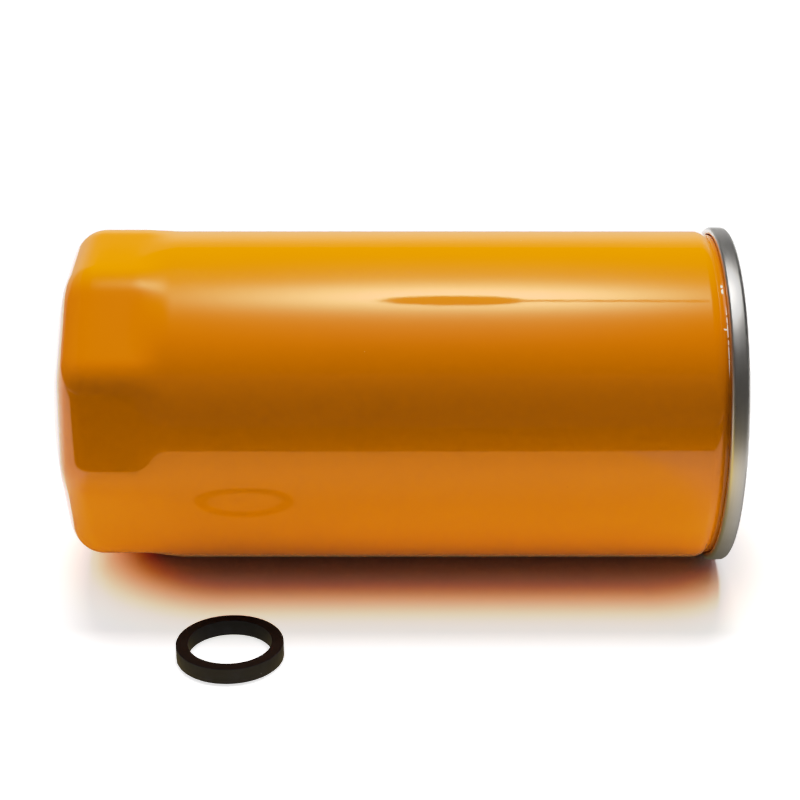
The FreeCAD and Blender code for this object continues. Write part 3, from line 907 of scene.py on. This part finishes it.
class OILFILTER_OT_stud_seal(Operator):
    """Builds the loose square-section seal that lies beside the filter"""

    bl_idname = "oilfilter.stud_seal"
    bl_label = "Loose seal"

    def execute(self, context):
        centre = (RING_LOW + RING_HIGH) / 2
        outer = (RING_HIGH.x - RING_LOW.x) / 2
        half = (RING_HIGH.z - RING_LOW.z) / 2
        bore = sizes().seal_bore
        line = Outline(-half, bore, SEAL_BORE_EDGE)
        line.line(half, bore, bend=SEAL_BORE_EDGE)
        line.line(half, outer, bend=SEAL_RIM_EDGE)
        line.line(-half, outer, bend=SEAL_RIM_EDGE)
        bm = line.close().revolve(SEAL_STEPS)
        lay_down = Matrix.Rotation(-math.pi / 2, 3, "Y")
        bmesh.ops.rotate(bm, verts=bm.verts[:], cent=(0, 0, 0), matrix=lay_down)
        for vert in bm.verts:
            uneven = sum(noise.noise(vert.co * closeness) * depth for closeness, depth in SEAL_WAVES)
            away = Vector((vert.co.x, vert.co.y, 0.0)).normalized()
            vert.co += away * uneven * (1 if vert.co.xy.length > (bore + outer) / 2 else BORE_SHARE)
        bmesh.ops.translate(bm, verts=bm.verts[:], vec=centre)
        bm.normal_update()
        for face in bm.faces:
            face.material_index = 1 if abs(face.normal.z) > 0.8 else 0
        # The sides take the bluer colour, a painted correction against the table's warm reflection; the cut
        # faces keep a darker rubber.
        finishes = [
            rubber_finish("seal_side_rubber_tinted_against_sheen", SEAL_SIDE_TINTED_AGAINST_SHEEN, gloss=0.22, mote=SEAL_MOTE),
            rubber_finish("seal_cut_face", tint(colours().rubber, 0.7), 0.7, 0.15, 0.05, SEAL_MOTE),
        ]
        piece("loose_stud_seal", bm, "stud_seal", finishes, ["stud_seal_ring"])
        return {"FINISHED"}


# ---------------------------------------------------------------- finishes of the carried-over nodes


class OILFILTER_OT_inner_finishes(Operator):
    """Gives every carried-over node its finish"""

    bl_idname = "oilfilter.inner_finishes"
    bl_label = "Inner finishes"

    def execute(self, context):
        c = colours()
        steel = plated_finish("pressed_steel", c.steel, 0.3)
        bright = plated_finish("bright_plated_steel", c.zinc, 0.2)
        paper = paper_finish(c.paper)
        adhesive = adhesive_finish("potting_adhesive", c.adhesive)
        finishes = {
            "seam_sealant": rubber_finish("seam_compound", (0.16, 0.15, 0.14), 0.6, 0.0),
            "lower_end_cap": bright,
            "upper_end_cap": bright,
            "lower_potting": adhesive,
            "upper_potting": adhesive,
            "pleated_media": paper,
            "media_seam_clip": bright,
            "pleat_bands": adhesive_finish("hot_melt_beads", c.adhesive),
            "centre_tube": steel,
            "bypass_seat_ring": steel,
            "bypass_cage": bright,
            "bypass_poppet": steel,
            "bypass_poppet_seal": rubber_finish("poppet_rubber_black", c.rubber),
            "spring_plate": steel,
        }
        for name, finish in finishes.items():
            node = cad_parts[name]
            node.data.materials.clear()
            node.data.materials.append(finish)
        return {"FINISHED"}


# ---------------------------------------------------------------- stage

CAMERA_PLACE = (-0.0874, -0.50249, 0.21154)
CAMERA_TILT = 66.97  # degrees from straight down
LENS = 85.85
FILM_WHITE = 1.9  # scene light that shows as pure white
FILM = (  # scene light, shown light
    (0.2, 0.2),
    (0.37, 0.365),
    (0.55, 0.53),
    (0.7, 0.64),
    (0.9, 0.705),
    (1.25, 0.79),
    (1.6, 0.9),
)
LAMP_TARGET = Vector((-0.08, 0.0, 0.0))  # near the middle of the filter
LAMPS = (  # name, place from the target, size, power
    ("overhead_key", (0.0, 0.7, 2.45), (1.4, 0.84), 162.0),
    ("rear_light", (0.0, 2.6, 1.0), (3.0, 1.0), 85.0),
    ("overhead_fill", (0.0, -0.3, 2.4), (3.4, 3.8), 13.0),
)
ROOM_LIGHT = 0.05
WHITE = (1.0, 1.0, 1.0)

SOFTBOX_SIZE = (1.6, 2.2)
SOFTBOX_HEIGHT = 0.8
SOFTBOX_MIDDLE = (-0.025, 0.0015)
SOFTBOX_LENGTH = 0.171  # from its middle, along X, to where its light has fallen to 1/e
SOFTBOX_LIGHT = 13.2
SOFTBOX_LAYERS = ((0.852, 0.100), (0.148, 0.220))  # share of the light, and its spread along Y
GAP_MIDDLE = (-0.037, -0.034)
GAP_LENS = 0.056  # half the length of its wide part
GAP_THIN = 0.011  # half its width beyond that
GAP_WIDE = 0.045  # what the wide part adds
GAP_LEFT = (-0.1, -0.094)  # it comes in from the first X to the second
GAP_RIGHT = (0.176, 0.17)
GAP_EDGE = 0.003
GAP_DEPTH = 0.97

FLOOR_SIZE = 16.0
SHADOW_MIDDLE = -0.0775
SHADOW_HALF_LENGTH = 0.0575  # straight part of the contact shadow
BOUNCE_SIZE = (4.0, 1.2)
BOUNCE_EDGE = -0.165  # front edge of the part of the table that lights the filter from below
CARD_GAP = 0.1 * MM  # between cards that lie on each other
SHEEN_WIDTH = 6.0
SHEEN_START = -0.012
SHEEN_REACH = 7.9
TABLE_EDGE = -0.207  # nearer to the camera than this, glossy surfaces see no table
WALL_PLACE = 1.2
WALL_WIDTH = 5.0
WALL_HEIGHT = 2.4
WALL_FADE = (0.9, 0.4)  # heights between which it brightens
WALL_TOP_LIGHT = 0.13
WALL_FOOT_LIGHT = 0.5  # on top of that
BACKDROP_RADIUS = 7.0
BACKDROP_LIGHT = 2.2


def stage_object(name, bm, material, rays):
    """Makes a stage object of a bmesh, seen only by the given kinds of ray."""
    made = mesh_object(name, bm, [material])
    for kind in ("camera", "diffuse", "glossy", "transmission", "volume_scatter", "shadow"):
        setattr(made, "visible_" + kind, kind in rays)
    return made


def card(name, size, material, place, rays, turn=(0, 0, 0), shift=0.0):
    """A flat stage card; shift moves its mesh along Y from its origin."""
    bm = bmesh.new()
    bmesh.ops.create_grid(bm, x_segments=1, y_segments=1, size=0.5)
    bmesh.ops.scale(bm, verts=bm.verts[:], vec=(size[0], size[1], 1.0))
    bmesh.ops.translate(bm, verts=bm.verts[:], vec=(0.0, shift, 0.0))
    made = stage_object(name, bm, material, rays)
    made.location = place
    made.rotation_euler = turn


def softbox_glow():
    """Soft light across the card, brightest along its middle, with a dark gap where its two halves meet."""
    f = Finish("softbox_glow")
    along = abs(f.x - SOFTBOX_MIDDLE[0]) / SOFTBOX_LENGTH
    across = f.y - SOFTBOX_MIDDLE[1]
    squared = across * across
    profile = sum((squared * (-0.5 / spread**2)).exponential() * share for share, spread in SOFTBOX_LAYERS)
    fall = ((along**2.5) * -1.0).exponential()
    # The gap, lens-shaped on the left and a thin line on the right, with ragged edges.
    middle = (f.x - GAP_MIDDLE[0]) / GAP_LENS
    lens = (1.0 - middle * middle).larger(0.0) ** 0.5
    ragged = (f.noise(60.0) - 0.5) * 0.014 + (f.noise(420.0, 3.0, 0.7) - 0.5) * 0.1
    half_gap = GAP_THIN + GAP_WIDE * lens
    reach = f.x.rise(*GAP_LEFT) * f.x.rise(*GAP_RIGHT)
    gap = abs(f.y - GAP_MIDDLE[1] + ragged).rise(half_gap + GAP_EDGE, half_gap - GAP_EDGE) * reach
    return f.glow(f.lit(WHITE, SOFTBOX_LIGHT * profile * fall * (1.0 - GAP_DEPTH * gap)))


def floor_material():
    """Pale matt table top that glows with painted light around the filter, so that the contact shadow stays
    short.
    """
    f = Finish("pale_floor_painted_glow")
    grain = f.noise(300.0, 3.0)
    beside = (abs(f.x - SHADOW_MIDDLE) - SHADOW_HALF_LENGTH).larger(0.0)
    away = (beside**2.0 + f.y * f.y) ** 0.5
    base = f.mix(grain, (0.855, 0.855, 0.855), (0.865, 0.865, 0.865))
    # Green and blue of the painted glow come in a little later than red, which paints a warm rim on the
    # shadow.
    red, green, blue = (away.rise(0.022 + late, 0.052 + 1.5 * late) for late in (0.0, 0.004, 0.007))
    # Painted light: the glow's strength, faint overall, stronger in a band just past the contact shadow and
    # strongest far away.
    painted_glow_strength = 0.25 + 0.65 * away.rise(0.12, 0.075) + 2.0 * away.rise(0.5, 2.5)
    light = f.lit(f.vector(red, green, blue), painted_glow_strength)
    return f.shade(
        Base_Color=base, Roughness=0.9, Specular_IOR_Level=0.0, Emission_Color=light, Emission_Strength=1.0
    )


def floor_sheen():
    """Painted reflection of the table, on a card that only glossy surfaces see: dark past its front edge,
    warm beside the canister, bright to the left.
    """
    f = Finish("floor_sheen")
    y = f.y + (SHEEN_START - SHEEN_REACH / 2)
    on_table = y.rise(TABLE_EDGE - 0.004, TABLE_EDGE + 0.004)
    far = y.rise(-0.055, -0.11)
    near = y.rise(-0.02, -0.055)
    warm = f.mix(far, (0.35, 0.28, 0.12), (1.5, 1.1, 0.35))
    plain = f.mix(far, (0.62, 0.6, 0.57), (0.95, 0.93, 0.9))
    seen = f.mix(f.x.rise(-0.005, 0.012), warm, plain)
    left = f.x.rise(-0.18, -0.235)
    strength = on_table * (0.3 + 0.7 * near + 0.7 * left * (1.0 - near))
    return f.glow(f.lit(f.mix(left, seen, (2.0, 1.85, 1.75)), strength))


def wall_glow():
    """The pale wall behind the table, brightest near its foot."""
    f = Finish("wall_glow")
    height = f.y + WALL_HEIGHT / 2
    return f.glow(f.lit(WHITE, WALL_TOP_LIGHT + WALL_FOOT_LIGHT * height.rise(*WALL_FADE)))


class OILFILTER_OT_stage(Operator):
    """Sets up the pale floor, the soft light, and the camera"""

    bl_idname = "oilfilter.stage"
    bl_label = "Studio"

    def execute(self, context):
        scene = context.scene
        self.set_film(scene.view_settings)
        self.add_cards()
        self.add_backdrop()
        self.add_lights(scene)
        self.add_camera(scene)
        return {"FINISHED"}

    def add_cards(self):
        """The table as each kind of ray sees it, and the softbox and the wall that reflections show."""
        floor_finish = floor_material()
        card("floor", (FLOOR_SIZE, FLOOR_SIZE), floor_finish, (0, 0, FLOOR_Z), ("camera", "glossy"))
        place = (0, 0, FLOOR_Z - CARD_GAP)
        shift = BOUNCE_SIZE[1] / 2 + BOUNCE_EDGE
        card("floor_bounce", BOUNCE_SIZE, floor_finish, place, ("diffuse",), shift=shift)
        card("softbox", SOFTBOX_SIZE, softbox_glow(), (0, 0, SOFTBOX_HEIGHT), ("glossy",))
        place = (0, SHEEN_START - SHEEN_REACH / 2, FLOOR_Z + CARD_GAP)
        card("floor_sheen", (SHEEN_WIDTH, SHEEN_REACH), floor_sheen(), place, ("glossy",))
        place = (0, WALL_PLACE, FLOOR_Z + WALL_HEIGHT / 2)
        upright = (math.pi / 2, 0, 0)
        card("back_wall", (WALL_WIDTH, WALL_HEIGHT), wall_glow(), place, ("glossy",), turn=upright)

    def add_backdrop(self):
        """The white that the camera sees above the table."""
        bm = bmesh.new()
        bmesh.ops.create_icosphere(bm, subdivisions=3, radius=BACKDROP_RADIUS)
        stage_object("backdrop", bm, Finish("backdrop_glow").glow(WHITE, BACKDROP_LIGHT), ("camera",))

    def set_film(self, view):
        """A plain view with the soft shoulder of a camera's response."""
        view.view_transform = "Standard"
        view.use_curve_mapping = True
        mapping = view.curve_mapping
        mapping.white_level = (FILM_WHITE,) * 3
        curve = mapping.curves[3]  # the curve that all three colours share
        curve.points[0].location = (0.0, 0.0)
        curve.points[1].location = (1.0, 1.0)
        for light, shown in FILM:
            curve.points.new(light / FILM_WHITE, shown)
        mapping.update()

    def add_lights(self, scene):
        for name, offset, size, power in LAMPS:
            lamp = bpy.data.lights.new(name, "AREA")
            lamp.shape = "RECTANGLE"
            lamp.size, lamp.size_y = size
            lamp.energy = power
            made = bpy.data.objects.new(name, lamp)
            scene.collection.objects.link(made)
            made.location = LAMP_TARGET + Vector(offset)
            made.rotation_euler = Vector(offset).to_track_quat("Z", "Y").to_euler()
            made.visible_glossy = False
            made.visible_camera = False
        world = bpy.data.worlds.new("studio")
        world.use_nodes = True
        background = world.node_tree.nodes["Background"]
        background.inputs["Color"].default_value = (*WHITE, 1.0)
        background.inputs["Strength"].default_value = ROOM_LIGHT
        scene.world = world

    def add_camera(self, scene):
        camera = bpy.data.cameras.new("camera")
        camera.lens = LENS
        camera.sensor_width = 36.0
        camera.clip_start = 0.01
        camera_object = bpy.data.objects.new("camera", camera)
        camera_object.location = CAMERA_PLACE
        camera_object.rotation_euler = (math.radians(CAMERA_TILT), 0.0, 0.0)
        scene.collection.objects.link(camera_object)
        scene.camera = camera_object


# ---------------------------------------------------------------- add-on

PIECES = (
    OILFILTER_OT_canister,
    OILFILTER_OT_lid,
    OILFILTER_OT_gasket,
    OILFILTER_OT_base_plate,
    OILFILTER_OT_drain_flap,
    OILFILTER_OT_springs,
    OILFILTER_OT_stud_seal,
    OILFILTER_OT_inner_finishes,
    OILFILTER_OT_stage,
)


class OILFILTER_PT_panel(Panel):
    """Sidebar panel with the sizes, the colours and a button for each piece"""

    bl_label = "Oil Filter"
    bl_space_type = "VIEW_3D"
    bl_region_type = "UI"
    bl_category = "Oil Filter"

    def draw(self, context):
        for group in (sizes(), colours()):
            box = self.layout.box()
            for name in group.__annotations__:
                box.prop(group, name)
        for operator in PIECES:
            self.layout.operator(operator.bl_idname)


CLASSES = (OilFilterSizes, OilFilterColours, *PIECES, OILFILTER_PT_panel)


def register():
    for cls in CLASSES:
        bpy.utils.register_class(cls)
    bpy.types.Scene.oil_filter_sizes = PointerProperty(type=OilFilterSizes)
    bpy.types.Scene.oil_filter_colours = PointerProperty(type=OilFilterColours)


def unregister():
    del bpy.types.Scene.oil_filter_colours
    del bpy.types.Scene.oil_filter_sizes
    for cls in reversed(CLASSES):
        bpy.utils.unregister_class(cls)


def main():
    register()
    for operator in PIECES:
        getattr(bpy.ops.oilfilter, operator.bl_idname.split(".")[1])()


if __name__ == "__main__":
    main()
